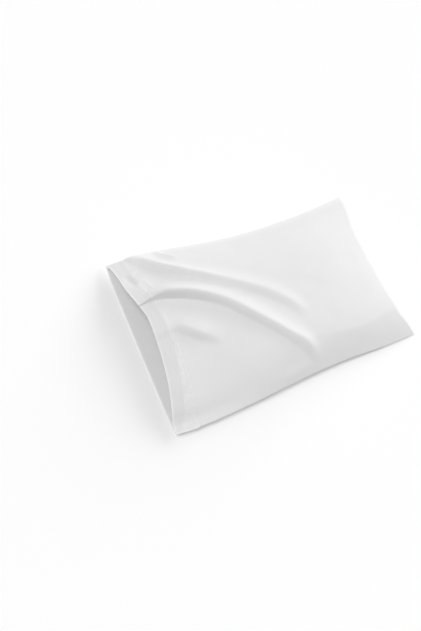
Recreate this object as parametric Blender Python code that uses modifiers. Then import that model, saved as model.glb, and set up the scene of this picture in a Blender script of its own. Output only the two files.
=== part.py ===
"""A plain pillowcase, open at one end, lying on its back and standing full as it does with a pillow in it.

Metres, +Z up. The case rests on z = 0 with the origin under the middle of its bounding box. +X runs from the
open mouth to the closed end, and +Y across, from the low seam to the high seam. Two panels of cloth are sewn
together along both long seams and the closed end. Each is made as the sheet of its inner face, which Solidify
thickens outwards.

A place on a panel is told by two shares, both from 0 to 1: "along" from the mouth to the closed end, and
"across" from the low seam to the high seam.
"""

from collections import namedtuple

import bmesh
import bpy
import numpy as np

# Driving sizes. Laid flat, the case is 0.76 x 0.51 m; standing full, it draws in to the size made here.
LENGTH = 0.732
CLOTH = 0.002
SEAM_GAP = 0.0003

# Cells of each panel's grid, along and across.
FRONT_CELLS = (38, 46)
BACK_CELLS = (20, 14)

COLLECTION = "pillowcase"
WHITE = (0.90, 0.90, 0.89, 1.0)
ROUGHNESS = 0.9

# The two long seams: where the low and the high one run, and how high they stand off the surface.
Seam = namedtuple("Seam", "along low high height")
LONG_SEAMS = (
    Seam(0.00, -0.249, 0.247, 0.022),
    Seam(0.10, -0.254, 0.251, 0.026),
    Seam(0.22, -0.251, 0.245, 0.030),
    Seam(0.36, -0.243, 0.227, 0.034),
    Seam(0.52, -0.232, 0.215, 0.037),
    Seam(0.70, -0.227, 0.215, 0.038),
    Seam(0.86, -0.230, 0.223, 0.037),
    Seam(1.00, -0.228, 0.234, 0.034),
)

# The seam of the closed end: how far it is drawn in towards the mouth, and how far it rises over its corners.
End = namedtuple("End", "across drawn_in rise")
CLOSED_END = (
    End(0.00, 0.000, 0.000),
    End(0.14, 0.010, 0.001),
    End(0.40, 0.020, 0.004),
    End(0.66, 0.020, 0.004),
    End(0.92, 0.006, 0.001),
    End(1.00, 0.005, 0.000),
)

# The front panel's edge at the mouth: how far it is pulled back, and how high it arches over its corners.
Mouth = namedtuple("Mouth", "across pulled_back arch")
MOUTH = (
    Mouth(0.00, 0.000, 0.000),
    Mouth(0.10, 0.007, 0.020),
    Mouth(0.20, 0.019, 0.031),
    Mouth(0.35, 0.031, 0.042),
    Mouth(0.50, 0.037, 0.048),
    Mouth(0.62, 0.037, 0.050),
    Mouth(0.70, 0.027, 0.047),
    Mouth(0.80, 0.019, 0.036),
    Mouth(0.90, 0.016, 0.019),
    Mouth(0.96, 0.013, 0.008),
    Mouth(1.00, 0.004, 0.000),
)

# The front panel's crown over its seams, and how square its two shoulders are: 2 is a round one.
Crown = namedtuple("Crown", "along rise low_shoulder high_shoulder")
CROWN = (
    Crown(0.00, 0.050, 2.0, 2.4),
    Crown(0.20, 0.059, 2.0, 2.6),
    Crown(0.36, 0.062, 2.1, 2.8),
    Crown(0.52, 0.062, 2.5, 3.0),
    Crown(0.66, 0.059, 3.2, 3.2),
    Crown(0.78, 0.051, 3.8, 3.2),
    Crown(0.89, 0.034, 4.0, 3.0),
    Crown(0.96, 0.015, 3.8, 3.0),
    Crown(1.00, 0.000, 3.6, 3.0),
)
MOUTH_REACH = 0.40  # share of the length over which the mouth's arch turns into the crown

# The back panel lies flat in the middle and curls up to the seams.
FLAT_ACROSS = 0.66  # share of the half width that lies flat
FLAT_ALONG = 0.84  # share of the length that lies flat, from the mouth
CURL = 1.7  # power of the curl's rise

# The folds of the front panel, each told by its crest: where it runs, how high it stands, how wide its
# gentle and its steep side are, how soft the steep side's foot is, how much lower the cloth lies past that
# foot, and how far the crest leans out over it.
Fold = namedtuple("Fold", "x y height gentle steep soft drop lean")
FOLDS = {
    "upper": (
        Fold(-0.320, 0.262, 0.000, 0.020, 0.020, 0.40, 0.000, 0.000),
        Fold(-0.270, 0.216, 0.007, 0.018, 0.020, 0.40, 0.001, 0.000),
        Fold(-0.198, 0.160, 0.009, 0.018, 0.020, 0.40, 0.001, 0.000),
        Fold(-0.099, 0.092, 0.010, 0.019, 0.021, 0.40, 0.001, 0.000),
        Fold(-0.003, 0.017, 0.008, 0.021, 0.023, 0.45, 0.001, 0.000),
        Fold(0.047, -0.038, 0.005, 0.022, 0.024, 0.50, 0.000, 0.000),
        Fold(0.078, -0.110, 0.000, 0.022, 0.024, 0.50, 0.000, 0.000),
    ),
    "lower": (
        Fold(-0.385, 0.110, 0.012, 0.022, 0.015, 0.20, 0.000, 0.024),
        Fold(-0.345, 0.112, 0.012, 0.022, 0.015, 0.20, 0.000, 0.024),
        Fold(-0.310, 0.114, 0.013, 0.021, 0.018, 0.15, 0.002, 0.016),
        Fold(-0.276, 0.115, 0.014, 0.019, 0.025, 0.08, 0.004, 0.006),
        Fold(-0.240, 0.105, 0.014, 0.018, 0.027, 0.08, 0.004, 0.002),
        Fold(-0.190, 0.086, 0.013, 0.018, 0.027, 0.12, 0.004, 0.000),
        Fold(-0.125, 0.040, 0.012, 0.019, 0.028, 0.30, 0.004, 0.000),
        Fold(-0.040, -0.059, 0.010, 0.020, 0.030, 0.35, 0.004, 0.000),
        Fold(0.020, -0.134, 0.008, 0.021, 0.030, 0.40, 0.002, 0.000),
        Fold(0.052, -0.210, 0.000, 0.022, 0.030, 0.50, 0.000, 0.000),
    ),
    "hem dent": (
        Fold(-0.330, -0.020, 0.000, 0.018, 0.017, 0.40, 0.000, 0.000),
        Fold(-0.271, 0.002, 0.004, 0.018, 0.017, 0.30, 0.003, 0.000),
        Fold(-0.222, -0.037, 0.004, 0.018, 0.017, 0.30, 0.003, 0.000),
        Fold(-0.165, -0.078, 0.000, 0.018, 0.017, 0.40, 0.000, 0.000),
    ),
}
Station = namedtuple("Station", ("number",) + Fold._fields)
FOLD_SAMPLES = 160
GENTLE_SOFT = 0.5  # softness of a gentle side's foot
DROP_FADE = 0.075  # how far past a fold its drop dies away
LEAN_BEHIND = 0.030  # how far behind a leaning crest the cloth is dragged along
LEAN_AHEAD = 0.008

# The rows of the front panel's grid draw together where the lower fold leans over near the mouth.
PLEAT_ROW = 0.71
PLEAT_SPREAD = 0.13
PLEAT_PULL = 0.60
PLEAT_END = 0.45


def ease(share):
    """0 to 1 with level ends."""
    share = np.clip(share, 0.0, 1.0)
    return share * share * (3.0 - 2.0 * share)


def read(rows, column, place):
    """The column of a table, read at each place on a smooth curve through its rows."""
    stations = np.array([row[0] for row in rows])
    values = np.array([getattr(row, column) for row in rows])
    slopes = np.gradient(values, stations)
    i = np.clip(np.searchsorted(stations, place) - 1, 0, len(rows) - 2)
    step = stations[i + 1] - stations[i]
    t = np.clip((place - stations[i]) / step, 0.0, 1.0)
    level = values[i] * (1 + 2 * t) * (1 - t) ** 2 + values[i + 1] * (3 - 2 * t) * t**2
    return level + step * t * (1 - t) * (slopes[i] * (1 - t) - slopes[i + 1] * t)


def seam_plane(along, across, pulled_back):
    """x, y and height of the sheet stretched level between the seams, before it is filled out."""
    mouth = -LENGTH / 2 + pulled_back
    closed = LENGTH / 2 - read(CLOSED_END, "drawn_in", across)
    low, high = read(LONG_SEAMS, "low", along), read(LONG_SEAMS, "high", along)
    height = read(LONG_SEAMS, "height", along) + read(CLOSED_END, "rise", across) * along**3
    return mouth + (closed - mouth) * along, low + (high - low) * across, height


def bump(q, soft):
    """A ridge's section: height 1 at q = 0, its foot at q = 1. A small soft makes the foot a crease."""
    return np.logaddexp(0.0, (1.0 - q * q) / soft) / np.logaddexp(0.0, 1.0 / soft)


def crest_near(rows, x, y):
    """A fold's columns at the point of its crest nearest to each place, and the crest's direction there."""
    numbered = [Station(number, *row) for number, row in enumerate(rows)]
    samples = np.linspace(0.0, len(rows) - 1.0, FOLD_SAMPLES)
    crest_x, crest_y = read(numbered, "x", samples), read(numbered, "y", samples)
    run_x, run_y = np.gradient(crest_x, samples), np.gradient(crest_y, samples)
    near = np.hypot(x[..., None] - crest_x, y[..., None] - crest_y).argmin(axis=-1)
    past = (x - crest_x[near]) * run_x[near] + (y - crest_y[near]) * run_y[near]
    number = np.clip(samples[near] + past / (run_x**2 + run_y**2)[near], 0.0, len(rows) - 1.0)
    run_x, run_y = np.interp(number, samples, run_x), np.interp(number, samples, run_y)
    run = np.hypot(run_x, run_y)
    return Fold(*(read(numbered, name, number) for name in Fold._fields)), run_x / run, run_y / run


def folded(x, y, z):
    """The crowned sheet with its folds laid in."""
    for rows in FOLDS.values():
        crest, run_x, run_y = crest_near(rows, x, y)
        off = (y - crest.y) * run_x - (x - crest.x) * run_y
        beyond = (x - crest.x) * run_x + (y - crest.y) * run_y
        fade = np.exp(-((beyond / crest.gentle) ** 2))
        gentle_side = off > 0
        q = off / np.where(gentle_side, crest.gentle, crest.steep)
        ridge = bump(q, np.where(gentle_side, GENTLE_SOFT, crest.soft))
        below = np.where(gentle_side, 0.0, (1.0 - ridge) * np.exp(-((off / DROP_FADE) ** 2)))
        z = z + fade * (crest.height * ridge - crest.drop * below)
        dragged = np.exp(-((off / np.where(gentle_side, LEAN_BEHIND, LEAN_AHEAD)) ** 2))
        lean = crest.lean * fade * dragged
        x, y = x + lean * run_y, y - lean * run_x
    return x, y, z


def front_sheet(along, across):
    """The front panel's inner face: crowned, arched at the mouth and folded."""
    x, y, z = seam_plane(along, across, read(MOUTH, "pulled_back", across))
    t = 2 * across - 1
    power = np.where(t < 0, read(CROWN, "low_shoulder", along), read(CROWN, "high_shoulder", along))
    crown = read(CROWN, "rise", along) * (1 - np.abs(t) ** power)
    filled = ease(along / MOUTH_REACH)
    z = z + read(MOUTH, "arch", across) * (1 - filled) + crown * filled
    x, y, z = folded(x, y, z)
    return x, y, z + SEAM_GAP / 2


def back_sheet(along, across):
    """The back panel's inner face: flat in the middle, and curled up to the seams."""
    x, y, z = seam_plane(along, across, 0.0)
    sides = np.clip((np.abs(2 * across - 1) - FLAT_ACROSS) / (1 - FLAT_ACROSS), 0, 1) ** CURL
    end = np.clip((along - FLAT_ALONG) / (1 - FLAT_ALONG), 0, 1) ** CURL
    curl = 1 - (1 - sides) * (1 - end)
    return x, y, CLOTH + (z - SEAM_GAP / 2 - CLOTH) * curl


def pleated_rows(along, across):
    """Rows of the front panel's grid, closer together where its lower fold leans over near the mouth."""
    q = (across - PLEAT_ROW) / PLEAT_SPREAD
    pull = PLEAT_PULL * PLEAT_SPREAD * (1 - ease(along / PLEAT_END))
    return across - pull * q * np.exp(-(q**2))


def even_rows(along, across):
    """Rows of the back panel's grid."""
    return across


def white_cotton(name):
    """A matt white cloth."""
    material = bpy.data.materials.new(name)
    material.use_nodes = True
    shader = material.node_tree.nodes["Principled BSDF"]
    shader.inputs["Base Color"].default_value = WHITE
    shader.inputs["Roughness"].default_value = ROUGHNESS
    shader.inputs["Metallic"].default_value = 0.0
    return material


def panel(name, cells, rows, sheet, faces_up):
    """One panel of cloth: a grid laid on the sheet of its inner face, thickened outwards."""
    grid = bmesh.new()
    bmesh.ops.create_grid(grid, x_segments=cells[0], y_segments=cells[1], size=0.5)
    places = np.array([vertex.co[:2] for vertex in grid.verts]) + 0.5
    along = places[:, 0]
    points = np.stack(sheet(along, rows(along, places[:, 1])), axis=-1)
    for vertex, point in zip(grid.verts, points):
        vertex.co = point
    bmesh.ops.triangulate(grid, faces=grid.faces, quad_method="ALTERNATE")
    if not faces_up:
        bmesh.ops.reverse_faces(grid, faces=grid.faces)
    mesh = bpy.data.meshes.new(name)
    grid.to_mesh(mesh)
    grid.free()
    mesh.shade_smooth()
    mesh.materials.append(white_cotton(f"{name} cotton"))
    part = bpy.data.objects.new(name, mesh)
    bpy.data.collections[COLLECTION].objects.link(part)
    thicken = part.modifiers.new("cloth", "SOLIDIFY")
    thicken.thickness = CLOTH
    thicken.offset = 1.0
    return part


def stand_on_origin(parts):
    """Moves the case so that the origin is under the middle of its bounding box."""
    bpy.context.view_layer.update()
    graph = bpy.context.evaluated_depsgraph_get()
    corners = np.array([corner for part in parts for corner in part.evaluated_get(graph).bound_box])
    middle = (corners.min(axis=0) + corners.max(axis=0)) / 2
    for part in parts:
        for vertex in part.data.vertices:
            vertex.co.x -= middle[0]
            vertex.co.y -= middle[1]


def main():
    for thing in list(bpy.data.objects):
        bpy.data.objects.remove(thing)
    bpy.context.scene.collection.children.link(bpy.data.collections.new(COLLECTION))
    front = panel("front_panel", FRONT_CELLS, pleated_rows, front_sheet, faces_up=True)
    back = panel("back_panel", BACK_CELLS, even_rows, back_sheet, faces_up=False)
    stand_on_origin([front, back])


main()
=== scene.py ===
"""A plain white cotton pillowcase, open at one end, lying on its back and standing full with soft folds.

Metres, +Z up. The case rests on z = 0. +X runs from the open mouth to the closed end, and +Y across, from the
low seam to the high seam. A place on a panel is told by two shares, both from 0 to 1: "along" from the mouth
to the closed end, and "across" from the low seam to the high seam.

Each panel is one piece of cloth. Its hem is turned in at the mouth and stitched down, and past the seams it
is turned in again as the seam allowance. The cloth is laid in plies on the panel's middle surface.
"""

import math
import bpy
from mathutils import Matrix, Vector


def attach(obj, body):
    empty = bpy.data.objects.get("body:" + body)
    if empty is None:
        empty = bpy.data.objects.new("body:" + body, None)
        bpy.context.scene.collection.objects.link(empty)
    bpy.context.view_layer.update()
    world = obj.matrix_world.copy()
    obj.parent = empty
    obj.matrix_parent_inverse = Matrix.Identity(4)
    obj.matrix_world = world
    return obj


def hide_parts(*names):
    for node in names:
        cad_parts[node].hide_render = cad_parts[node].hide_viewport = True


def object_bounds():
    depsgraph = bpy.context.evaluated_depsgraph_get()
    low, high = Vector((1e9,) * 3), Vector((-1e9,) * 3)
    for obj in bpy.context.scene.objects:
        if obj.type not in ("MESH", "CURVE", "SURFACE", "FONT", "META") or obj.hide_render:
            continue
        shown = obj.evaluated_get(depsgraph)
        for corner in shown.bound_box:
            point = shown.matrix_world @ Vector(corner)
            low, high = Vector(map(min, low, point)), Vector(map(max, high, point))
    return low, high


bl_info = {
    "name": "Hemmed Pillowcase",
    "version": (1, 0, 0),
    "blender": (4, 5, 0),
    "location": "3D View > Sidebar > Pillowcase",
    "description": "Builds a hemmed cotton pillowcase on its frame, with a pale studio round it",
    "category": "Object",
}

from collections import namedtuple

import bmesh
import bpy
import numpy as np
from mathutils import Matrix, Vector

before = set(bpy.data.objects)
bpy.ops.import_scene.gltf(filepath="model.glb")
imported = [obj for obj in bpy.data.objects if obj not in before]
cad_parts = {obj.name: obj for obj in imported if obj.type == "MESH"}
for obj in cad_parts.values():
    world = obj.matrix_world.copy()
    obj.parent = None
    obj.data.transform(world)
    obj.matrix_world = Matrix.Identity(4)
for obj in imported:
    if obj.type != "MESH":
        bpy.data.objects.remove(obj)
CAD_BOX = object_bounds()

# The frame's own sizes: its length, the thickness of its panels, and the gap between them at the seams.
LENGTH = 0.732
PANEL = 0.002
SEAM_GAP = 0.0003
SEWN_GAP = 0.0001  # between the cloths, where a seam holds them together

# Widths and a length that turn a share into a distance, where a rough one will do.
FLAT_WIDTH = 0.51  # of the case laid flat
ROUGH_WIDTH = 0.48  # of the case as it stands full, between its long seams
ROUGH_LENGTH = 0.70  # and along it
RELIEF_WIDTH = 0.50  # of a panel, on which the waves of its relief are counted
BOX_SAMPLES = 401  # places along a seam at which its furthest one is looked for

# The two long seams: where the low and the high one run, how high the high one stands off the surface, how
# much lower the low one lies, and over what share of the width the panels sink down to that one.
Seam = namedtuple("Seam", "along low high height sink reach")
LONG_SEAMS = (
    Seam(0.00, -0.2490, 0.2520, 0.022, 0.000, 0.25),
    Seam(0.10, -0.2533, 0.2535, 0.026, 0.002, 0.25),
    Seam(0.22, -0.2490, 0.2455, 0.030, 0.006, 0.25),
    Seam(0.36, -0.2405, 0.2290, 0.034, 0.007, 0.25),
    Seam(0.52, -0.2285, 0.2175, 0.037, 0.010, 0.21),
    Seam(0.70, -0.2210, 0.2170, 0.038, 0.018, 0.15),
    Seam(0.86, -0.2210, 0.2255, 0.037, 0.026, 0.15),
    Seam(1.00, -0.2177, 0.2385, 0.034, 0.030, 0.19),
)
SINK_POWER = 1.25  # power of that sinking, which 1 would make a straight slope

# The seam of the closed end: how far it is drawn in towards the mouth, and how far it rises over its corners.
# The low corner reaches out, so it is drawn in by less than 0.
End = namedtuple("End", "across drawn_in rise")
CLOSED_END = (
    End(0.00, -0.0150, 0.000),
    End(0.07, -0.0025, 0.005),
    End(0.14, 0.0160, 0.011),
    End(0.24, 0.0240, 0.012),
    End(0.40, 0.0272, 0.009),
    End(0.64, 0.0268, 0.005),
    End(0.80, 0.0235, 0.003),
    End(0.93, 0.0120, 0.001),
    End(1.00, 0.0080, 0.000),
)
RISE_POWER = 6  # power of that rise along the length: a high one keeps it close to the closed end

# The front panel's edge at the mouth: how far it is pulled back, and how high it arches over its corners.
Mouth = namedtuple("Mouth", "across pulled_back arch")
MOUTH = (
    Mouth(0.00, 0.000, 0.000),
    Mouth(0.045, 0.001, 0.002),
    Mouth(0.10, 0.007, 0.017),
    Mouth(0.20, 0.019, 0.031),
    Mouth(0.35, 0.031, 0.042),
    Mouth(0.50, 0.037, 0.048),
    Mouth(0.62, 0.037, 0.050),
    Mouth(0.70, 0.027, 0.047),
    Mouth(0.80, 0.017, 0.036),
    Mouth(0.90, 0.012, 0.019),
    Mouth(0.96, 0.008, 0.008),
    Mouth(1.00, 0.001, 0.000),
)

# The front panel's crown over its seams, and how square its two shoulders are: 2 is a round one.
Crown = namedtuple("Crown", "along rise low_shoulder high_shoulder")
CROWN = (
    Crown(0.00, 0.050, 2.0, 2.4),
    Crown(0.20, 0.057, 2.8, 2.6),
    Crown(0.36, 0.059, 3.7, 2.8),
    Crown(0.52, 0.059, 4.2, 3.0),
    Crown(0.66, 0.057, 3.6, 3.2),
    Crown(0.78, 0.051, 2.6, 3.2),
    Crown(0.89, 0.035, 1.7, 3.0),
    Crown(0.96, 0.017, 1.4, 3.0),
    Crown(1.00, 0.000, 1.4, 3.0),
)
MOUTH_REACH = 0.40  # share of the length over which the mouth's arch turns into the crown

# The back panel lies flat in the middle and curls up to the seams.
FLAT_ACROSS = 0.66  # share of the half width that lies flat
FLAT_ALONG = 0.84  # share of the length that lies flat, from the mouth
CURL = 1.7  # power of the curl's rise

# The folds of the front panel, each told by its crest: where it runs, how high it stands, how wide its
# gentle and its steep side are, how soft the steep side's foot is, how much lower the cloth lies past that
# foot, and how far the crest leans out over it.
Fold = namedtuple("Fold", "x y height gentle steep soft drop lean")
FOLDS = {
    "upper": (
        Fold(-0.300, 0.256, 0.0060, 0.010, 0.016, 0.35, 0.000, 0.000),
        Fold(-0.271, 0.232, 0.0120, 0.010, 0.019, 0.30, 0.001, 0.000),
        Fold(-0.244, 0.200, 0.0178, 0.011, 0.016, 0.13, 0.001, 0.000),
        Fold(-0.201, 0.162, 0.0200, 0.011, 0.016, 0.06, 0.001, 0.000),
        Fold(-0.100, 0.088, 0.0128, 0.016, 0.017, 0.15, 0.001, 0.000),
        Fold(-0.003, 0.016, 0.0100, 0.017, 0.019, 0.20, 0.001, 0.000),
        Fold(0.051, -0.041, 0.0074, 0.015, 0.019, 0.24, 0.000, 0.000),
        Fold(0.076, -0.091, 0.0000, 0.015, 0.021, 0.32, 0.000, 0.000),
    ),
    "lower": (
        Fold(-0.385, 0.103, 0.0055, 0.022, 0.012, 0.28, 0.000, 0.010),
        Fold(-0.345, 0.105, 0.0065, 0.020, 0.012, 0.28, 0.000, 0.010),
        Fold(-0.310, 0.110, 0.0100, 0.018, 0.014, 0.30, 0.003, 0.007),
        Fold(-0.276, 0.111, 0.0185, 0.016, 0.016, 0.20, 0.0065, 0.003),
        Fold(-0.242, 0.102, 0.0245, 0.018, 0.016, 0.12, 0.0085, 0.001),
        Fold(-0.185, 0.074, 0.0245, 0.021, 0.015, 0.09, 0.0065, 0.000),
        Fold(-0.120, 0.024, 0.0230, 0.022, 0.014, 0.09, 0.0010, 0.000),
        Fold(-0.058, -0.047, 0.0205, 0.023, 0.014, 0.10, 0.0010, 0.000),
        Fold(0.002, -0.116, 0.0158, 0.018, 0.014, 0.13, 0.0015, 0.000),
        Fold(0.039, -0.158, 0.0152, 0.017, 0.017, 0.16, 0.0015, 0.000),
        Fold(0.067, -0.204, 0.0000, 0.016, 0.016, 0.26, 0.0015, 0.000),
    ),
    "hem dent": (
        Fold(-0.345, 0.003, 0.0012, 0.022, 0.014, 0.40, 0.001, 0.000),
        Fold(-0.305, 0.005, 0.0026, 0.022, 0.014, 0.30, 0.001, 0.000),
        Fold(-0.271, 0.007, 0.0058, 0.022, 0.014, 0.22, 0.002, 0.000),
        Fold(-0.249, -0.003, 0.0125, 0.026, 0.016, 0.17, 0.003, 0.000),
        Fold(-0.216, -0.034, 0.0142, 0.030, 0.017, 0.16, 0.003, 0.000),
        Fold(-0.162, -0.072, 0.0000, 0.029, 0.016, 0.37, 0.000, 0.000),
    ),
}
Station = namedtuple("Station", ("number",) + Fold._fields)
FOLD_SAMPLES = 240  # places on a crest, or along a seam, at which it is looked up
GENTLE_SOFT = 0.78  # softness of a gentle side's foot
GENTLE_ROUND = 0.48  # how round a crest is: the share of its gentle side over which it turns
STEEP_ROUND = 0.92  # and of its steep side
DROP_FADE = 0.075  # how far past a fold its drop dies away
LEAN_BEHIND = 0.030  # how far behind a leaning crest the cloth is dragged along
LEAN_AHEAD = 0.008  # and how far ahead of it

# Where the front hem's stitches run, as a share of the length.
Hem = namedtuple("Hem", "across line")
FRONT_HEM = (
    Hem(0.00, 0.086),
    Hem(0.10, 0.087),
    Hem(0.20, 0.086),
    Hem(0.32, 0.079),
    Hem(0.50, 0.075),
    Hem(0.64, 0.071),
    Hem(0.75, 0.085),
    Hem(0.83, 0.078),
    Hem(0.92, 0.082),
    Hem(1.00, 0.091),
)
BACK_HEM = (
    Hem(0.00, 0.086),
    Hem(0.50, 0.084),
    Hem(1.00, 0.087),
)

# Small creases that stand out from the front panel or sink in: from where to where they run, how far they
# reach to each side, and how high they stand. One below 0 is a dent.
Crease = namedtuple("Crease", "x0 y0 x1 y1 reach height")
SMALL_CREASES = (
    Crease(-0.338, 0.193, -0.315, 0.164, 0.0080, -0.0044),
    Crease(-0.338, 0.182, -0.318, 0.156, 0.0130, -0.0034),
    Crease(-0.234, 0.247, -0.184, 0.202, 0.0050, 0.0036),
    Crease(-0.248, 0.230, -0.194, 0.196, 0.0060, -0.0018),
    Crease(-0.296, 0.166, -0.283, 0.127, 0.0060, 0.0016),
    Crease(-0.286, 0.084, -0.277, 0.061, 0.0060, 0.0014),
    Crease(-0.048, -0.218, 0.036, -0.205, 0.0110, 0.0026),
)

# Where the hem's raw edge, turned under, ends on its way from the stitches to the mouth: a share of the hem.
Under = namedtuple("Under", "across end")
TURNED_UNDER = (
    Under(0.00, 0.12),
    Under(0.06, 0.42),
    Under(0.18, 0.53),
    Under(0.30, 0.62),
    Under(0.45, 0.71),
    Under(0.62, 0.70),
    Under(0.80, 0.62),
    Under(1.00, 0.60),
)
UNDER_EDGE = 0.04  # share of the hem over which that edge sets in
UNDER_FADE = 0.02  # and over which it dies away at the stitches
UNDER_HEIGHT = 0.0003  # how far it lifts the hem

# How the cloth takes its sewing, and where highlights are painted on its edges. A reach is how far from
# its line a thing shows, in metres.
HIGHLIGHT_REACH = 0.0024
HIGH_SEAM_LIGHT_SHARE = 0.75  # how strong the painted highlight along the high seam is, from the cotton's white to the edge highlight's
HIGH_SEAM_LIGHT_SPREAD = 0.016
HEM_SHOWS = 0.15  # how light the hem is away from its turned-under part, from its painted shade to the cotton's white
STITCHES_SINK = 0.0004
STITCHES_SINK_REACH = 0.0013
STITCH_PUCKER_REACH = 0.006
SEAM_PUCKER_REACH = 0.009
WELT_PLACE = 0.0045  # how far from a seam the allowance behind it lifts the cloth most
WELT_REACH = 0.0030
WELT_WAVES = 0.4  # how much that lift follows the seam's puckers
RUMPLE_TO_STITCHES = 0.006  # the hem's lumps die away over this distance at its stitches
RUMPLE_TO_MOUTH = 0.008  # and over this one at the mouth
HEM_END = 0.086  # share of the length at which the hems end at the low seam
FLARE_RUN = 0.006  # distance along the low seam over which the hem's flare sets in
FLARE_REACH = 0.020
BACK_EDGE = 0.1  # share of the half width over which the back's relief sets in, past its flat middle

# The wavelengths of the puckers, lumps and unevenness, in metres. Lumps and unevenness run aslant, and each
# direction is told by its shares of x and y.
HEM_WAVES = (0.011, 0.017, 0.027)
RUMPLE_WAVES = (0.014, 0.022, 0.037)
RUMPLE_SLANTS = ((0.6, 1.0), (-0.9, 1.0))
SEAM_WAVES = (0.016, 0.026, 0.041)
BROAD_WAVES = (0.083, 0.127, 0.211)
BROAD_SLANTS = ((1.0, 0.35), (-0.25, 1.0), (0.8, -0.6))
CROSSED_SHARE = 0.7  # of the broad waves that cross, in the unevenness
SINGLE_SHARE = 0.5  # and of those that run one way

COTTON_WHITE = "#E7E7E7"
COTTON_SHADE = "#E3E3E3"
# Painted shade on the hem: the dark of the open mouth behind its ply, painted into its colour.
HEM_PAINTED_SHADE = "#DEDEDE"
THREAD_WHITE = "#EFEFEF"
# Painted highlight on the hem's fold and ends at the mouth and along the high seam.
HIGHLIGHT_WHITE = "#EEEEEE"
FLOOR_WHITE = "#FBFBFB"
SKY_WHITE = "#FFFFFF"
THREAD_SPACING = 0.0009  # cotton of this kind has about 0.3 mm; drawn three times as coarse, so that it shows
SLUB_LENGTH = 0.012
SLUB_SLIMNESS = 9.0  # how many times as long as wide a slub is
PATCH_SIZE = 0.016  # of the patches in which the hem's turned-under part shows through its painted shade
CLOUDS = 14.0  # of the cotton's faint clouds in a metre
TWIST_SPACING = 0.0006  # from one turn of the sewing thread's plies to the next
STITCH_STANDS = 0.35  # how far a stitch's middle stands out of the cloth, as a share of its thread's radius
STITCH_SPAN = 0.001  # the distance to each side of a stitch over which its direction is taken
ROLLER_GRAINS = 900.0  # of the floor's mottling in a metre
MARKS = ("hem", "backing", "pressed")  # the patterns that the cloth's points carry for its material

# Rows and columns of the cloth's grid, each stretch as the place where it ends and its step, in metres.
HEM_ROWS = ((0.004, 0.0013), (0.053, 0.0023), (0.058, 0.0010))
BODY_ROWS = ((0.004, 0.0010), (0.300, 0.0027), (0.668, 0.0048))
TURNED_HEM_ROWS = ((0.008, 0.0020), (0.056, 0.0040), (0.0595, 0.0012))
COLUMNS = ((0.006, 0.0015), (0.484, 0.0030), (0.490, 0.0015))
TURN_STEPS = 6  # in a quarter turn of the cloth, at the mouth and at the seams
ALLOWANCE_STEPS = 3  # over the width of a seam allowance

# The columns draw together where the lower fold leans over near the mouth.
PLEAT_COLUMN = 0.71  # the share of the width to which they are drawn
PLEAT_SPREAD = 0.13  # how far to each side of it
PLEAT_PULL = 0.60  # how strongly
PLEAT_END = 0.45  # the share of the length by which that has died away


def linear(hex_colour):
    """The linear colour of an sRGB hex value, with full alpha."""
    shares = [int(hex_colour[i : i + 2], 16) / 255 for i in (1, 3, 5)]
    return tuple(s / 12.92 if s <= 0.04045 else ((s + 0.055) / 1.055) ** 2.4 for s in shares) + (1.0,)


def ease(share):
    """0 to 1 with level ends."""
    share = np.clip(share, 0.0, 1.0)
    return share * share * (3.0 - 2.0 * share)


def read(rows, column, place):
    """The column of a table, read at each place on a smooth curve through its rows."""
    stations = np.array([row[0] for row in rows])
    values = np.array([getattr(row, column) for row in rows])
    slopes = np.gradient(values, stations)
    i = np.clip(np.searchsorted(stations, place) - 1, 0, len(rows) - 2)
    step = stations[i + 1] - stations[i]
    t = np.clip((place - stations[i]) / step, 0.0, 1.0)
    level = values[i] * (1 + 2 * t) * (1 - t) ** 2 + values[i + 1] * (3 - 2 * t) * t**2
    return level + step * t * (1 - t) * (slopes[i] * (1 - t) - slopes[i + 1] * t)


def seam_plane(along, across, pulled_back):
    """x, y and height of the sheet stretched level between the seams, before it is filled out."""
    mouth = -LENGTH / 2 + pulled_back
    closed = LENGTH / 2 - read(CLOSED_END, "drawn_in", across)
    low, high = read(LONG_SEAMS, "low", along), read(LONG_SEAMS, "high", along)
    height = read(LONG_SEAMS, "height", along) + read(CLOSED_END, "rise", across) * along**RISE_POWER
    sunk = np.clip(1 - across / read(LONG_SEAMS, "reach", along), 0, 1) ** SINK_POWER
    height = height - read(LONG_SEAMS, "sink", along) * sunk
    return mouth + (closed - mouth) * along, low + (high - low) * across, height


def bump(q, soft, crest_round):
    """A ridge's section: height 1 at q = 0, its foot at q = 1. A small soft makes the foot a crease."""
    slant = (np.hypot(q, crest_round) - crest_round) / (np.hypot(1.0, crest_round) - crest_round)
    return np.logaddexp(0.0, (1.0 - slant) / soft) / np.logaddexp(0.0, 1.0 / soft)


def crest_near(rows, x, y):
    """A fold's columns at the point of its crest nearest to each place, and the crest's direction there."""
    numbered = [Station(number, *row) for number, row in enumerate(rows)]
    samples = np.linspace(0.0, len(rows) - 1.0, FOLD_SAMPLES)
    crest_x, crest_y = read(numbered, "x", samples), read(numbered, "y", samples)
    run_x, run_y = np.gradient(crest_x, samples), np.gradient(crest_y, samples)
    near = np.hypot(x[..., None] - crest_x, y[..., None] - crest_y).argmin(axis=-1)
    past = (x - crest_x[near]) * run_x[near] + (y - crest_y[near]) * run_y[near]
    number = np.clip(samples[near] + past / (run_x**2 + run_y**2)[near], 0.0, len(rows) - 1.0)
    run_x, run_y = np.interp(number, samples, run_x), np.interp(number, samples, run_y)
    run = np.hypot(run_x, run_y)
    return Fold(*(read(numbered, name, number) for name in Fold._fields)), run_x / run, run_y / run


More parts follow.
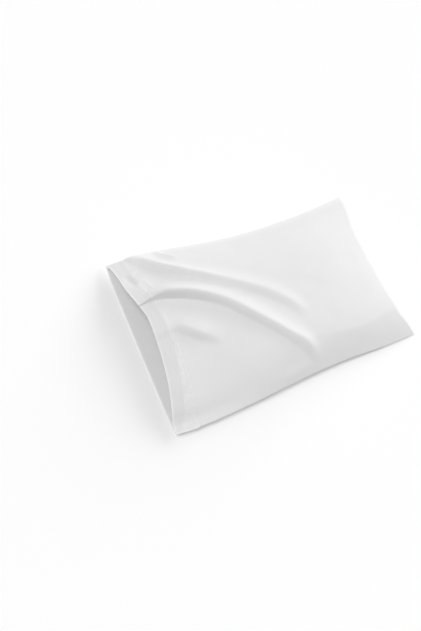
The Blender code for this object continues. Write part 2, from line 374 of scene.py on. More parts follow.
def folded(x, y, z):
    """The crowned sheet with its folds laid in."""
    for rows in FOLDS.values():
        crest, run_x, run_y = crest_near(rows, x, y)
        off = (y - crest.y) * run_x - (x - crest.x) * run_y
        beyond = (x - crest.x) * run_x + (y - crest.y) * run_y
        fade = np.exp(-((beyond / crest.gentle) ** 2))
        gentle_side = off > 0
        q = off / np.where(gentle_side, crest.gentle, crest.steep)
        soft = np.where(gentle_side, GENTLE_SOFT, crest.soft)
        ridge = bump(q, soft, np.where(gentle_side, GENTLE_ROUND, STEEP_ROUND))
        below = np.where(gentle_side, 0.0, (1.0 - ridge) * np.exp(-((off / DROP_FADE) ** 2)))
        z = z + fade * (crest.height * ridge - crest.drop * below)
        dragged = np.exp(-((off / np.where(gentle_side, LEAN_BEHIND, LEAN_AHEAD)) ** 2))
        lean = crest.lean * fade * dragged
        x, y = x + lean * run_y, y - lean * run_x
    return x, y, z


def front_sheet(along, across):
    """The front panel's inner face: crowned, arched at the mouth and folded."""
    x, y, z = seam_plane(along, across, read(MOUTH, "pulled_back", across))
    t = 2 * across - 1
    power = np.where(t < 0, read(CROWN, "low_shoulder", along), read(CROWN, "high_shoulder", along))
    crown = read(CROWN, "rise", along) * (1 - np.abs(t) ** power)
    filled = ease(along / MOUTH_REACH)
    z = z + read(MOUTH, "arch", across) * (1 - filled) + crown * filled
    x, y, z = folded(x, y, z)
    return np.stack([x, y, z + SEAM_GAP / 2], axis=-1)


def seam_lift(along, across):
    """How far the folds lift the long seam on this side, where they run out over it."""
    samples = np.linspace(0.0, 1.0, FOLD_SAMPLES)
    lifts = []
    for side in (0.0, 1.0):
        x, y, z = seam_plane(samples, np.full(FOLD_SAMPLES, side), 0.0)
        lifts.append(np.interp(along, samples, folded(x, y, z)[2] - z))
    return np.where(across < 0.5, lifts[0], lifts[1])


def back_sheet(along, across):
    """The back panel's inner face: flat in the middle, and curled up to the seams."""
    x, y, z = seam_plane(along, across, 0.0)
    z = z + seam_lift(along, across)
    sides = np.clip((np.abs(2 * across - 1) - FLAT_ACROSS) / (1 - FLAT_ACROSS), 0, 1) ** CURL
    end = np.clip((along - FLAT_ALONG) / (1 - FLAT_ALONG), 0, 1) ** CURL
    curl = 1 - (1 - sides) * (1 - end)
    return np.stack([x, y, PANEL + (z - SEAM_GAP / 2 - PANEL) * curl], axis=-1)


def unit(vectors):
    """The vectors, each made 1 long."""
    return vectors / np.linalg.norm(vectors, axis=-1, keepdims=True)


def shift_to_frame():
    """How far the tables' places lie from the frame, whose origin is under the middle of its box."""
    shares = np.linspace(0.0, 1.0, BOX_SAMPLES)
    middle_y = (read(LONG_SEAMS, "low", shares).min() + read(LONG_SEAMS, "high", shares).max()) / 2
    middle = (CAD_BOX[0] + CAD_BOX[1]) / 2
    return np.array([middle.x, middle.y - middle_y, 0.0])


def rows_of(stretches):
    """The places of a grid's rows: even steps through each stretch, from 0."""
    places = [np.zeros(1)]
    start = 0.0
    for end, step in stretches:
        places.append(np.linspace(start, end, max(1, round((end - start) / step)) + 1)[1:])
        start = end
    return np.concatenate(places)


Rows = namedtuple("Rows", "hem body ply turn_in end_turn tucked")
Columns = namedtuple("Columns", "across turn tucked")


def cloth_rows(sizes):
    """The rows of one cloth from its turned hem's free edge, out round the mouth and along to the closed end.

    Each has its share of the hem and of the body past it, how far its ply lies out from the middle surface,
    how far it stands out past the mouth, its share of the turn at the closed end, and how far it is tucked
    in past that.
    """
    turned = rows_of(TURNED_HEM_ROWS)[::-1] / HEM_ROWS[-1][0]
    hem = rows_of(HEM_ROWS) / HEM_ROWS[-1][0]
    body = rows_of(BODY_ROWS)[1:] / BODY_ROWS[-1][0]
    round_edge = np.linspace(-1.0, 1.0, 2 * TURN_STEPS + 1)[1:-1] * math.pi / 2
    round_seam = np.linspace(0.0, 1.0, TURN_STEPS + 1)[1:]
    tucked = np.linspace(0.0, sizes.seam_allowance, ALLOWANCE_STEPS + 1)[1:]
    outer, roll = sizes.outer_ply, sizes.edge_roll
    puffed = outer - 2 * roll
    inner = outer - sizes.cloth_thickness - sizes.ply_gap
    inner_ply = puffed + (inner - puffed) * ease(turned)
    middle = (outer + puffed) / 2
    stretches = (
        (turned, 0.0, inner_ply, 0.0, 0.0, 0.0),
        (0.0, 0.0, middle + roll * np.sin(round_edge), roll * np.cos(round_edge), 0.0, 0.0),
        (hem, 0.0, outer, 0.0, 0.0, 0.0),
        (1.0, body, outer, 0.0, 0.0, 0.0),
        (1.0, 1.0, outer, 0.0, round_seam, 0.0),
        (1.0, 1.0, outer, 0.0, 1.0, tucked),
    )
    spread = [np.broadcast_arrays(*(np.atleast_1d(c) for c in stretch)) for stretch in stretches]
    return Rows(*(np.concatenate(column) for column in zip(*spread)))


def cloth_columns(sizes):
    """The columns of one cloth, from the low seam's allowance over to the high seam's."""
    across = rows_of(COLUMNS) / COLUMNS[-1][0]
    turn = np.linspace(1.0, 0.0, TURN_STEPS + 1)[:-1]
    tucked = np.linspace(sizes.seam_allowance, 0.0, ALLOWANCE_STEPS + 1)[:-1]
    none = np.zeros(len(across))
    side = np.concatenate([np.ones(ALLOWANCE_STEPS), turn])
    tuck = np.concatenate([tucked, np.zeros(TURN_STEPS)])
    return Columns(
        np.concatenate([np.zeros(len(side)), across, np.ones(len(side))]),
        np.concatenate([-side, none, side[::-1]]),
        np.concatenate([tuck, none, tuck[::-1]]),
    )


def pleated(along, across):
    """The columns' shares, closer together where the lower fold leans over near the mouth."""
    q = (across - PLEAT_COLUMN) / PLEAT_SPREAD
    pull = PLEAT_PULL * PLEAT_SPREAD * (1 - ease(along / PLEAT_END))
    return across - pull * q * np.exp(-(q**2))


def ripple(place, waves, seed):
    """A row of small uneven waves, about 1 high, from a few sines whose phases come from the seed."""
    phases = np.random.default_rng(seed).uniform(0.0, 2 * math.pi, len(waves))
    return sum(np.sin(2 * math.pi * place / w + p) for w, p in zip(waves, phases)) / len(waves) ** 0.5


def beside_line(off, reach):
    """1 at reach to either side of a line of stitches, 0 on the line and far away."""
    q = np.abs(off) / reach
    return q * np.exp(1.0 - q)


def cloth_points(sheet, rows, columns, hem_table, sizes, outwards, relief):
    """The cloth's middle points, row by row, with each one's place along and across and the way it faces."""
    hem_line = read(hem_table, "line", columns.across)[None, :]
    along = hem_line * rows.hem[:, None] + (1.0 - hem_line) * rows.body[:, None]
    across = np.broadcast_to(columns.across[None, :], along.shape)
    if outwards > 0:
        across = pleated(along, across)
    small = 1e-4
    ahead, behind = np.clip(along + small, 0, 1), np.clip(along - small, 0, 1)
    right, left = np.clip(across + small, 0, 1), np.clip(across - small, 0, 1)
    base = sheet(along, across)
    run_along = unit(sheet(ahead, across) - sheet(behind, across))
    run_across = unit(sheet(along, right) - sheet(along, left))
    normal = unit(np.cross(run_along, run_across)) * outwards
    up = np.array([0.0, 0.0, 1.0])
    core = base + normal * (PANEL / 2 + relief(along, across, along - hem_line)[..., None])

    # The seams: the cloth comes down to just clear of the seam's plane, and turns in there.
    clear = sizes.outer_ply + sizes.cloth_thickness / 2 + SEWN_GAP / 2
    seam_z = base[..., 2] - outwards * SEAM_GAP / 2
    need = (clear - (core[..., 2] - seam_z) * outwards) * outwards
    reach = sizes.seam_reach
    width, length = ROUGH_WIDTH, ROUGH_LENGTH
    core = core + up * (
        need[:, :1] * np.exp(-((across * width / reach) ** 2))
        + need[:, -1:] * np.exp(-(((1 - across) * width / reach) ** 2))
        + need[-1:, :] * np.exp(-(((1 - along) * length / reach) ** 2))
    )[..., None]

    level_along = unit(run_along * (1, 1, 0))
    level_across = unit(run_across * (1, 1, 0))
    to_low_side = np.cross(level_along, up)
    flare = sizes.hem_flare * ease((HEM_END - along) * LENGTH / FLARE_RUN)
    core = core + to_low_side * (flare * np.exp(-((across * width / FLARE_REACH) ** 2)))[..., None]
    side = to_low_side * np.where(columns.turn < 0, 1.0, -1.0)[None, :, None]
    end = np.cross(level_across, up)
    side_turn = np.abs(columns.turn)[None, :] * np.ones_like(along)
    end_turn = rows.end_turn[:, None] * np.ones_like(along)
    turn = np.maximum(side_turn, end_turn)
    out = side * side_turn[..., None] + end * end_turn[..., None]
    out = out / np.maximum(np.linalg.norm(out, axis=-1, keepdims=True), 1e-9)
    tilt = np.arctan2((normal @ up) * outwards, (normal * out).sum(axis=-1))
    angle = tilt + (-math.pi / 2 - tilt) * turn
    turned = out * np.cos(angle)[..., None] + up * (outwards * np.sin(angle))[..., None]
    facing = np.where((turn > 0)[..., None], turned, normal)

    # Where two allowances meet at a corner, each narrows as it comes near the other's seam.
    corner = 1.5 * sizes.seam_allowance
    near_end = ease((1 - along) * length / corner) * (end_turn == 0)
    near_side = ease(across * width / corner)
    near_side = near_side * ease((1 - across) * width / corner) * (side_turn == 0)
    inwards = side * (columns.tucked[None, :] * near_end)[..., None]
    inwards = inwards + end * (rows.tucked[:, None] * near_side)[..., None]
    # The inner ply is puffed in at the mouth, but not in the allowance, where it would come out above the
    # outer one.
    flattened = np.maximum(rows.ply, sizes.outer_ply - sizes.cloth_thickness - sizes.ply_gap)
    ply = rows.ply[:, None] + (flattened - rows.ply)[:, None] * turn
    points = core + facing * ply[..., None] - run_along * rows.turn_in[:, None, None] - inwards
    return points + shift_to_frame(), along, across, facing


def put_in_scene(name, data):
    """A new object of that name and data, in the scene."""
    thing = bpy.data.objects.new(name, data)
    bpy.context.scene.collection.objects.link(thing)
    return thing


def grid_piece(name, points, patterns, outwards):
    """A mesh piece made from a grid whose rows and columns are laid at the points, with its UV map."""
    row_count, column_count = points.shape[:2]
    grid = bmesh.new()
    bmesh.ops.create_grid(grid, x_segments=row_count - 1, y_segments=column_count - 1, size=0.5)
    if outwards < 0:
        bmesh.ops.reverse_faces(grid, faces=grid.faces)
    mesh = bpy.data.meshes.new(name)
    grid.to_mesh(mesh)
    grid.free()
    flat = np.zeros(len(mesh.vertices) * 3, np.float32)
    mesh.vertices.foreach_get("co", flat)
    places = flat.reshape(-1, 3)[:, :2] + 0.5
    row = np.rint(places[:, 0] * (row_count - 1)).astype(int)
    column = np.rint(places[:, 1] * (column_count - 1)).astype(int)
    mesh.vertices.foreach_set("co", points[row, column].astype(np.float32).ravel())
    corners = np.zeros(len(mesh.loops), np.int32)
    mesh.loops.foreach_get("vertex_index", corners)
    cut = mesh.uv_layers.new(name="cut")
    uv = np.stack([patterns["u"][row, column], patterns["v"][row, column]], axis=-1)
    cut.data.foreach_set("uv", uv[corners].astype(np.float32).ravel())
    for mark in MARKS:
        layer = mesh.attributes.new(mark, "FLOAT", "POINT")
        layer.data.foreach_set("value", patterns[mark][row, column].astype(np.float32))
    merged = bmesh.new()
    merged.from_mesh(mesh)
    bmesh.ops.remove_doubles(merged, verts=merged.verts, dist=1e-5)
    merged.to_mesh(mesh)
    merged.free()
    mesh.shade_smooth()
    mesh.update()
    return put_in_scene(name, mesh)


def add_node(tree, kind, output, settings=None, links=None):
    """Adds a node with its own settings and inputs, links inputs from other nodes, and gives one output."""
    node = tree.nodes.new("ShaderNode" + kind)
    for key, value in (settings or {}).items():
        if isinstance(key, str) and hasattr(node, key):
            setattr(node, key, value)
        else:
            node.inputs[key].default_value = value
    for key, socket in (links or {}).items():
        tree.links.new(socket, node.inputs[key])
    return node.outputs[output]


def creased(x, y, creases):
    """How far the small creases move the cloth out."""
    total = np.zeros_like(x)
    for crease in creases:
        run = np.array([crease.x1 - crease.x0, crease.y1 - crease.y0])
        length = np.hypot(*run)
        run = run / length
        past_x, past_y = x - crease.x0, y - crease.y0
        on = past_x * run[0] + past_y * run[1]
        off = past_y * run[0] - past_x * run[1]
        from_middle = 2 * on / length - 1
        total += crease.height * np.exp(-((off / crease.reach) ** 2) - from_middle**4)
    return total


def stitched_relief(along, across, past_line, sizes, seed):
    """The pull of the hem's stitches and of the three seams on one panel."""
    off = past_line * LENGTH
    x, y = along * LENGTH, across * RELIEF_WIDTH
    relief = -STITCHES_SINK * np.exp(-((off / STITCHES_SINK_REACH) ** 2))
    relief += sizes.hem_pucker * ripple(y, HEM_WAVES, seed) * beside_line(off, STITCH_PUCKER_REACH)
    rumple = 1.0
    for slant, shift in zip(RUMPLE_SLANTS, (4, 5)):
        rumple = rumple * ripple(slant[0] * x + slant[1] * y, RUMPLE_WAVES, seed + shift)
    relief += sizes.hem_rumple * rumple * ease(-off / RUMPLE_TO_STITCHES) * ease(x / RUMPLE_TO_MOUTH)
    for place, distance, shift in ((x, y, 1), (x, RELIEF_WIDTH - y, 2), (y, LENGTH - x, 3)):
        wave = ripple(place, SEAM_WAVES, seed + shift)
        relief += sizes.seam_pucker * wave * beside_line(distance, SEAM_PUCKER_REACH)
        welt = np.exp(-(((distance - WELT_PLACE) / WELT_REACH) ** 2))
        relief += sizes.seam_welt * (1.0 + WELT_WAVES * wave) * welt
    return relief


def broad_relief(along, across, seed):
    """A soft unevenness all over a panel, about 1 high."""
    x, y = along * LENGTH, across * RELIEF_WIDTH
    first, crossing, single = (
        ripple(slant[0] * x + slant[1] * y, BROAD_WAVES, seed + shift)
        for shift, slant in enumerate(BROAD_SLANTS)
    )
    return CROSSED_SHARE * (first * crossing) + SINGLE_SHARE * single


def front_relief(sizes):
    """The front panel's fine relief, as a function of the place on it."""

    def relief(along, across, past_line):
        base = front_sheet(along, across)
        hem_line = np.maximum(along - past_line, 1e-6)
        share = along / hem_line
        end = read(TURNED_UNDER, "end", across)
        under = ease((share - end) / UNDER_EDGE) * ease((1.0 - share) / UNDER_FADE)
        return (
            stitched_relief(along, across, past_line, sizes, seed=3)
            + creased(base[..., 0], base[..., 1], SMALL_CREASES)
            + UNDER_HEIGHT * under
            + sizes.unevenness * broad_relief(along, across, seed=11)
        )

    return relief


def back_relief(sizes):
    """The back panel's fine relief: only its hem and seams, because it lies flat."""

    def relief(along, across, past_line):
        lifted = ease((np.abs(2 * across - 1) - FLAT_ACROSS) / BACK_EDGE)
        pulled = stitched_relief(along, across, past_line, sizes, seed=23)
        return np.where(pulled > 0, pulled * lifted, pulled)

    return relief


def bands_to(spacing):
    """A Wave node's scale whose bands repeat at the spacing, in metres."""
    return 2 * math.pi / (20 * spacing)


def new_material(name, settings):
    """A new material with its node tree and its shader, whose own sockets take the settings."""
    material = bpy.data.materials.new(name)
    material.use_nodes = True
    shader = material.node_tree.nodes["Principled BSDF"]
    for socket, value in settings.items():
        shader.inputs[socket].default_value = value
    return material, material.node_tree, shader


def woven_cotton(looks):
    """Bleached cotton, plain woven and softly brushed: matt and white, with a nap that lightens its edges.

    The hem has painted shade, standing in for the dark of the open mouth behind it, and less of it where its
    raw edge is turned under. Painted highlights lie on the hem's fold and ends at the mouth and, fainter,
    along the high seam. The threads cross at right angles along the cut.
    """
    brushed = {"Roughness": 0.88, "IOR": 1.47, "Specular IOR Level": 0.3}
    nap = {"Sheen Weight": looks.nap, "Sheen Roughness": 0.5}
    material, tree, shader = new_material("woven cotton", {**brushed, **nap})
    cut = add_node(tree, "UVMap", "UV", {"uv_map": "cut"})
    place = add_node(tree, "TexCoord", "Object")
    cloudy = add_node(tree, "TexNoise", "Fac", {"Scale": CLOUDS, "Detail": 3.0}, {"Vector": place})
    hem, backing, pressed = (add_node(tree, "Attribute", "Fac", {"attribute_name": mark}) for mark in MARKS)
    patchy = add_node(tree, "TexNoise", "Fac", {"Scale": 1.0 / PATCH_SIZE, "Detail": 2.0}, {"Vector": place})
    uneven = {"From Min": 0.35, "From Max": 0.62, "To Min": 0.45, "To Max": 1.0}
    patches = add_node(tree, "MapRange", "Result", uneven, {"Value": patchy})
    show = add_node(tree, "Math", "Value", {"operation": "MULTIPLY"}, {0: backing, 1: patches})
    clouded = {"data_type": "RGBA", 6: tuple(looks.shade), 7: tuple(looks.cotton)}
    dyed = add_node(tree, "Mix", 2, clouded, {0: cloudy})
    # The hem's painted shade, lifted where its turned-under edge lies behind it.
    greyer = {"data_type": "RGBA", 6: tuple(looks.hem_shade), 7: tuple(looks.cotton)}
    hem_in_shade = add_node(tree, "Mix", 2, greyer, {0: show})
    hemmed = add_node(tree, "Mix", 2, {"data_type": "RGBA"}, {0: hem, 6: dyed, 7: hem_in_shade})
    # Painted highlights on the hem's fold and ends and along the high seam.
    highlight_colour = {"data_type": "RGBA", 7: tuple(looks.pressed)}
    with_highlights = add_node(tree, "Mix", 2, highlight_colour, {0: pressed, 6: hemmed})
    tree.links.new(with_highlights, shader.inputs["Base Color"])
    fine = bands_to(THREAD_SPACING)
    warp, weft = (
        add_node(tree, "TexWave", "Fac", {"bands_direction": way, "Scale": fine}, {"Vector": cut})
        for way in ("X", "Y")
    )
    crossing = add_node(tree, "Math", "Value", {"operation": "MULTIPLY"}, {0: warp, 1: weft})
    drawn_out = add_node(tree, "Mapping", "Vector", {"Scale": (1.0, SLUB_SLIMNESS, 1.0)}, {"Vector": cut})
    slub_sizes = {"Scale": 1.0 / SLUB_LENGTH, "Detail": 2.0}
    slubs = add_node(tree, "TexNoise", "Fac", slub_sizes, {"Vector": drawn_out})
    threads = add_node(tree, "Math", "Value", {"operation": "MULTIPLY_ADD", 1: 0.5}, {0: slubs, 2: crossing})
    weave = add_node(tree, "Bump", "Normal", {"Strength": 0.35, "Distance": 0.00006}, {"Height": threads})
    tree.links.new(weave, shader.inputs["Normal"])
    return material


def spun_thread(looks):
    """Spun polyester sewing thread: white, two plies twisted, a little smoother than the cotton."""
    spun = {"Base Color": tuple(looks.thread), "Roughness": 0.55, "Sheen Weight": 0.1}
    material, tree, shader = new_material("spun sewing thread", spun)
    place = add_node(tree, "TexCoord", "Object")
    slanted = add_node(tree, "Mapping", "Vector", {"Rotation": (0.0, 0.0, 0.6)}, {"Vector": place})
    twist = add_node(tree, "TexWave", "Fac", {"Scale": bands_to(TWIST_SPACING)}, {"Vector": slanted})
    plies = add_node(tree, "Bump", "Normal", {"Strength": 0.4, "Distance": 0.00005}, {"Height": twist})
    tree.links.new(plies, shader.inputs["Normal"])
    return material


def painted_floor(colour):
    """A matt painted studio floor: one pale colour, faintly mottled by the roller."""
    paint = {"Base Color": tuple(colour), "Roughness": 0.9, "Specular IOR Level": 0.2}
    material, tree, shader = new_material("painted floor", paint)
    place = add_node(tree, "TexCoord", "Object")
    mottle = add_node(tree, "TexNoise", "Fac", {"Scale": ROLLER_GRAINS, "Detail": 2.0}, {"Vector": place})
    rolled = add_node(tree, "Bump", "Normal", {"Strength": 0.05, "Distance": 0.0001}, {"Height": mottle})
    tree.links.new(rolled, shader.inputs["Normal"])
    return material


def once(name, make, *args):
    """The material of that name, made when it isn't there yet."""
    return bpy.data.materials.get(name) or make(*args)


def finished(piece, material, thickness=None):
    """Gives a piece its material and, where it is a sheet, its thickness, and puts it on the frame."""
    piece.data.materials.append(material)
    if thickness is not None:
        thicken = piece.modifiers.new("cloth", "SOLIDIFY")
        thicken.thickness = thickness
        thicken.offset = 0.0
    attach(piece, "root")
    return piece


def painted_edge_light(rows, across, in_hem):
    """Painted highlight on the cloth's edges: most on the hem's fold and ends, less along the high seam."""
    from_mouth = rows.hem[:, None] * HEM_ROWS[-1][0]
    from_seam = np.minimum(across, 1 - across) * COLUMNS[-1][0]
    on_fold = np.exp(-((from_mouth / HIGHLIGHT_REACH) ** 2))
    on_ends = np.where(in_hem, np.exp(-((from_seam / HIGHLIGHT_REACH) ** 2)), 0.0)
    seam_light = HIGH_SEAM_LIGHT_SHARE * np.exp(-(((1 - across) * COLUMNS[-1][0] / HIGH_SEAM_LIGHT_SPREAD) ** 2))
    return np.maximum(np.maximum(on_fold, on_ends), np.where(in_hem, 0.0, seam_light))


def cloth_piece(name, sheet, hem_table, outwards, relief, sizes):
    """One panel of cloth in one piece, and where its hem's stitches run, outside and inside."""
    rows, columns = cloth_rows(sizes), cloth_columns(sizes)
    points, along, across, facing = cloth_points(sheet, rows, columns, hem_table, sizes, outwards, relief)
    turned = np.arange(len(rows.hem)) < np.argmax(rows.turn_in > 0)
    sign = np.where(turned, -1.0, 1.0)[:, None]
    under = read(TURNED_UNDER, "end", across)
    in_hem = (rows.hem[:, None] < 1.0) | turned[:, None]
    band = ease((rows.hem[:, None] - under) / UNDER_EDGE)
    patterns = {
        "u": sign * along * LENGTH + rows.tucked[:, None],
        "v": across * FLAT_WIDTH + np.sign(columns.turn)[None, :] * columns.tucked[None, :],
        # The hem carries painted shade, for the dark of the open mouth behind it, lifted where its raw edge
        # is turned under.
        "hem": np.where((rows.hem[:, None] < 1.0) & ~turned[:, None], 1.0, 0.0) + np.zeros_like(along),
        "backing": HEM_SHOWS + (1.0 - HEM_SHOWS) * band,
        # Painted highlights on the hem's fold and ends and along the high seam.
        "pressed": painted_edge_light(rows, across, in_hem),
    }
    piece = grid_piece(name, points, patterns, outwards)
    line_row = int(np.flatnonzero((rows.hem == 1.0) & ~turned & (rows.body == 0.0))[0])
    under_row = int(np.abs(np.where(turned, rows.hem, 0.0) - 1.0).argmin())
    inside = (columns.turn == 0.0).nonzero()[0]
    half = sizes.cloth_thickness / 2
    outer = points[line_row, inside] + facing[line_row, inside] * half
    inner = points[under_row, inside] - facing[under_row, inside] * half
    return piece, ((outer, facing[line_row, inside]), (inner, -facing[under_row, inside]))


def read_at(distance, reach, points):
    """The row of points, or of directions, read at a distance along the line that they lie on."""
    return np.array([np.interp(distance, reach, points[:, k]) for k in range(3)])


def stitch_row(mesh, line, facing, sizes):
    """Adds a row of lockstitches along a line on the cloth, each a short rounded length of thread."""
    steps = np.linalg.norm(np.diff(line, axis=0), axis=1)
    reach = np.concatenate([[0.0], np.cumsum(steps)])
    centres = np.arange(sizes.stitch_pitch, reach[-1] - sizes.stitch_pitch / 2, sizes.stitch_pitch)
    for centre in centres:
        at = Vector(read_at(centre, reach, line))
        ahead = read_at(centre + STITCH_SPAN, reach, line)
        behind = read_at(centre - STITCH_SPAN, reach, line)
        out = Vector(read_at(centre, reach, facing)).normalized()
        run = Vector(ahead - behind).normalized()
        side = out.cross(run).normalized()
        turn = Matrix((run, side, run.cross(side))).transposed().to_4x4()
        length, width = sizes.stitch_length / 2, sizes.thread_width / 2
        size = Matrix.Diagonal((length, width, width, 1.0))
        place = Matrix.Translation(at + out * (width * STITCH_STANDS))
        bmesh.ops.create_uvsphere(mesh, u_segments=6, v_segments=5, radius=1.0, matrix=place @ turn @ size)


def stitches_piece(name, lines, sizes, looks):
    """All the stitches of one hem, seen from outside and from inside."""
    stitches = bmesh.new()
    for line, facing in lines:
        stitch_row(stitches, line, facing, sizes)
    # The spheres' faces come in an order that changes from run to run, so they are sorted by their corners.
    stitches.verts.index_update()
    ordered = sorted(stitches.faces, key=lambda face: sorted(corner.index for corner in face.verts))
    for number, face in enumerate(ordered):
        face.index = number
    stitches.faces.sort()
    mesh = bpy.data.meshes.new(name)
    stitches.to_mesh(mesh)
    stitches.free()
    mesh.shade_smooth()
    return finished(put_in_scene(name, mesh), once("spun sewing thread", spun_thread, looks))


def length_setting(name, description, default):
    """A size in metres that a user may change."""
    return bpy.props.FloatProperty(
        name=name, description=description, default=default, unit="LENGTH", precision=5
    )


def colour_setting(name, description, hex_colour):
    """A colour that a user may change, given as its sRGB hex value."""
    return bpy.props.FloatVectorProperty(
        name=name, description=description, default=linear(hex_colour), subtype="COLOR", size=4
    )


def light_setting(name, description, default):
    """The strength of a light, which a user may change."""
    return bpy.props.FloatProperty(name=name, description=description, default=default, min=0)


class PillowcaseSizes(bpy.types.PropertyGroup):
    """The sizes of the cloth, its hem, seams and stitches."""

    cloth_thickness: length_setting("Cloth thickness", "Thickness of one ply", 0.00055)
    ply_gap: length_setting("Ply gap", "Air between the plies of the hem", 0.00008)
    outer_ply: length_setting(
        "Outer ply", "How far the outer ply's middle lies out from the middle of its panel", 0.0007
    )
    edge_roll: length_setting(
        "Edge roll", "Radius of the cloth's turn at the mouth, where the hem is puffed up", 0.0008
    )
    seam_allowance: length_setting("Seam allowance", "Width turned in past each seam", 0.010)
    seam_reach: length_setting("Seam reach", "How far from a seam the cloth settles on it", 0.010)
    hem_pucker: length_setting("Hem pucker", "Height of the puckers beside the hem's stitches", 0.00010)
    hem_rumple: length_setting("Hem rumple", "Height of the soft lumps in the hem", 0.00025)
    hem_flare: length_setting("Hem flare", "How far the stiffer hem stands out at the low seam", 0.0025)
    seam_welt: length_setting("Seam welt", "How far the allowances lift the cloth along the seams", 0.0003)
    seam_pucker: length_setting("Seam pucker", "Height of the puckers beside the seams", 0.00012)
    unevenness: length_setting("Unevenness", "Height of the soft unevenness all over", 0.0005)
    stitch_pitch: length_setting("Stitch pitch", "From one hem stitch to the next", 0.0032)
    stitch_length: length_setting("Stitch length", "Length of the thread seen in a stitch", 0.0027)
    thread_width: length_setting("Thread width", "Thickness of the sewing thread", 0.0005)
    cut_width: length_setting("Cut width", "Width of each panel's cut, with its seam allowances", 0.53)
    cut_length: length_setting("Cut length", "Length of each panel's cut, with its hem", 0.835)


class PillowcaseLooks(bpy.types.PropertyGroup):
    """The colours of the cloth, the thread and the studio, and the strength of its light."""

    cotton: colour_setting("Cotton", "Colour of the cotton", COTTON_WHITE)
    shade: colour_setting(
        "Cotton shade", "The cotton's slightly greyer colour between its lighter clouds", COTTON_SHADE
    )
    thread: colour_setting("Thread", "Colour of the sewing thread", THREAD_WHITE)
    # Painted shade of the hem, for the dark of the open mouth behind it.
    hem_shade: colour_setting("Hem shade", "Colour of the hem away from its turned-under edge", HEM_PAINTED_SHADE)
    # Painted highlight on the hem's fold and ends at the mouth, and fainter along the high seam.
    pressed: colour_setting(
        "Pressed edge", "Colour of the cotton where it is pressed sharp, at the mouth", HIGHLIGHT_WHITE
    )
    nap: bpy.props.FloatProperty(
        name="Nap", description="Strength of the nap's sheen", default=0.15, subtype="FACTOR", min=0, max=1
    )
    floor: colour_setting("Floor", "Colour of the floor", FLOOR_WHITE)
    sky: colour_setting("Surround", "Colour of the light all round", SKY_WHITE)
    sky_strength: light_setting("Surround strength", "Strength of the light all round", 0.32)
    end_light: light_setting("End light", "Strength of the light past the closed end", 0.75)
    mouth_light: light_setting("Mouth light", "Strength of the high light over the mouth", 1.68)
    side_light: light_setting("Side light", "Strength of the low light past the high seam", 1.26)
    light_size: bpy.props.FloatProperty(
        name="Light size", description="Angle that each light fills", default=0.6, subtype="ANGLE"
    )


def laid_cloth(context, side, sheet, hem_table, outwards, relief):
    """Makes one panel's cloth of woven cotton, and keeps where its hem's stitches run."""
    sizes, looks = context.scene.pillowcase_sizes, context.scene.pillowcase_looks
    made = cloth_piece(side + "_cloth", sheet, hem_table, outwards, relief(sizes), sizes)
    piece, STITCH_LINES[side] = made
    return finished(piece, once("woven cotton", woven_cotton, looks), sizes.cloth_thickness)


STITCH_LINES = {}  # where each hem's stitches run, kept from the cloths for the stitches

FLOOR_REACH = 6.0  # how far the floor runs from the case to each side

# The three soft lights: each one's azimuth, turned from +Y towards +X, and its height over the floor, both in
# degrees.
Lamp = namedtuple("Lamp", "name azimuth height")
LAMPS = (
    Lamp("end_light", 90, 30),
    Lamp("mouth_light", -90, 65),
    Lamp("side_light", 60, 15),
)


class PILLOWCASE_OT_front_cloth(bpy.types.Operator):
    """Makes the front panel's cloth, with its folds, its hem and its seam allowances"""

    bl_idname = "pillowcase.front_cloth"
    bl_label = "Front cloth"

    def execute(self, context):
        piece = laid_cloth(context, "front", front_sheet, FRONT_HEM, 1.0, front_relief)
        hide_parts("front_panel")
        return {"FINISHED"}


class PILLOWCASE_OT_back_cloth(bpy.types.Operator):
    """Makes the back panel's cloth, flat underneath, with its hem and its seam allowances"""

    bl_idname = "pillowcase.back_cloth"
    bl_label = "Back cloth"

    def execute(self, context):
        piece = laid_cloth(context, "back", back_sheet, BACK_HEM, -1.0, back_relief)
        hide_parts("back_panel")
        return {"FINISHED"}


class PILLOWCASE_OT_hem_stitches(bpy.types.Operator):
    bl_idname = "pillowcase.hem_stitches"
    bl_label = "Hem stitches"

    def execute(self, context):
        sizes, looks = context.scene.pillowcase_sizes, context.scene.pillowcase_looks
        front = stitches_piece("front_hem_stitches", STITCH_LINES["front"], sizes, looks)
        back = stitches_piece("back_hem_stitches", STITCH_LINES["back"], sizes, looks)
        return {"FINISHED"}


class PILLOWCASE_OT_studio(bpy.types.Operator):
    """Lays the pale floor, and sets up the soft light and the camera"""

    bl_idname = "pillowcase.studio"
    bl_label = "Studio"

    def execute(self, context):
        scene, looks = context.scene, context.scene.pillowcase_looks
        plan = bmesh.new()
        bmesh.ops.create_grid(plan, x_segments=8, y_segments=8, size=FLOOR_REACH)
        mesh = bpy.data.meshes.new("floor")
        plan.to_mesh(mesh)
        plan.free()
        mesh.materials.append(once("painted floor", painted_floor, looks.floor))
        floor = put_in_scene("floor", mesh)

        world = bpy.data.worlds.new("surround")
        world.use_nodes = True
        world.node_tree.nodes["Background"].inputs["Color"].default_value = tuple(looks.sky)
        world.node_tree.nodes["Background"].inputs["Strength"].default_value = looks.sky_strength
        scene.world = world

        for lamp in LAMPS:
            light = bpy.data.lights.new(lamp.name, "SUN")
            light.energy = getattr(looks, lamp.name)
            light.angle = looks.light_size
            stand = put_in_scene(lamp.name, light)
            azimuth, height = math.radians(lamp.azimuth), math.radians(lamp.height)
            level = math.cos(height)
            towards = Vector((level * math.sin(azimuth), level * math.cos(azimuth), math.sin(height)))
            stand.rotation_euler = towards.to_track_quat("Z", "Y").to_euler()

        place_camera(scene)
        scene.view_settings.view_transform = "Standard"
        scene.view_settings.look = "None"
        return {"FINISHED"}


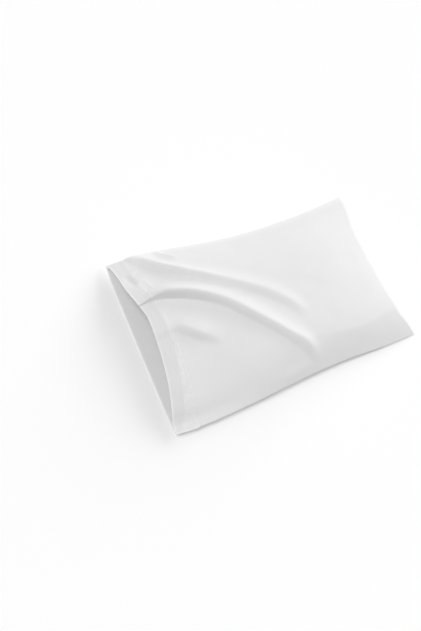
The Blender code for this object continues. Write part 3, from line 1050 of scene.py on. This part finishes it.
# The camera: what it looks at, how far off it stands, and its angles round, above and about its own axis.
CAMERA_TARGET = (-0.145, 0.03, 0.0)
CAMERA_DISTANCE = 2.40
CAMERA_AZIMUTH = math.radians(-44.0)
CAMERA_ELEVATION = math.radians(64.5)
CAMERA_ROLL = math.radians(22.5)
CAMERA_LENS = 50.0
CAMERA_SENSOR = 36.0


def place_camera(scene):
    """Stands the camera at the photograph's angle to the case."""
    data = bpy.data.cameras.new("camera")
    data.lens = CAMERA_LENS
    data.sensor_width = CAMERA_SENSOR
    data.sensor_fit = "AUTO"
    camera = put_in_scene("camera", data)
    level = math.cos(CAMERA_ELEVATION)
    back = Vector(
        (math.sin(CAMERA_AZIMUTH) * level, -math.cos(CAMERA_AZIMUTH) * level, math.sin(CAMERA_ELEVATION))
    )
    right = Vector((math.cos(CAMERA_AZIMUTH), math.sin(CAMERA_AZIMUTH), 0.0))
    level_camera = Matrix((right, back.cross(right), back)).transposed().to_4x4()
    rolled = level_camera @ Matrix.Rotation(CAMERA_ROLL, 4, "Z")
    rolled.translation = Vector(CAMERA_TARGET) + back * CAMERA_DISTANCE
    camera.matrix_world = rolled
    scene.camera = camera


class PILLOWCASE_PT_pieces(bpy.types.Panel):
    """The pillowcase's pieces and its studio"""

    bl_label = "Pillowcase"
    bl_space_type = "VIEW_3D"
    bl_region_type = "UI"
    bl_category = "Pillowcase"

    def draw(self, context):
        for group in (context.scene.pillowcase_sizes, context.scene.pillowcase_looks):
            for name in group.bl_rna.properties.keys():
                if name not in ("rna_type", "name"):
                    self.layout.prop(group, name)
        for operator in OPERATORS:
            self.layout.operator(operator.bl_idname)


OPERATORS = (
    PILLOWCASE_OT_front_cloth,
    PILLOWCASE_OT_back_cloth,
    PILLOWCASE_OT_hem_stitches,
    PILLOWCASE_OT_studio,
)
CLASSES = (PillowcaseSizes, PillowcaseLooks, *OPERATORS, PILLOWCASE_PT_pieces)


def register():
    for each in CLASSES:
        bpy.utils.register_class(each)
    bpy.types.Scene.pillowcase_sizes = bpy.props.PointerProperty(type=PillowcaseSizes)
    bpy.types.Scene.pillowcase_looks = bpy.props.PointerProperty(type=PillowcaseLooks)


def unregister():
    del bpy.types.Scene.pillowcase_looks
    del bpy.types.Scene.pillowcase_sizes
    for each in reversed(CLASSES):
        bpy.utils.unregister_class(each)


def main():
    register()
    bpy.ops.pillowcase.front_cloth()
    bpy.ops.pillowcase.back_cloth()
    bpy.ops.pillowcase.hem_stitches()
    bpy.ops.pillowcase.studio()


if __name__ == "__main__":
    main()
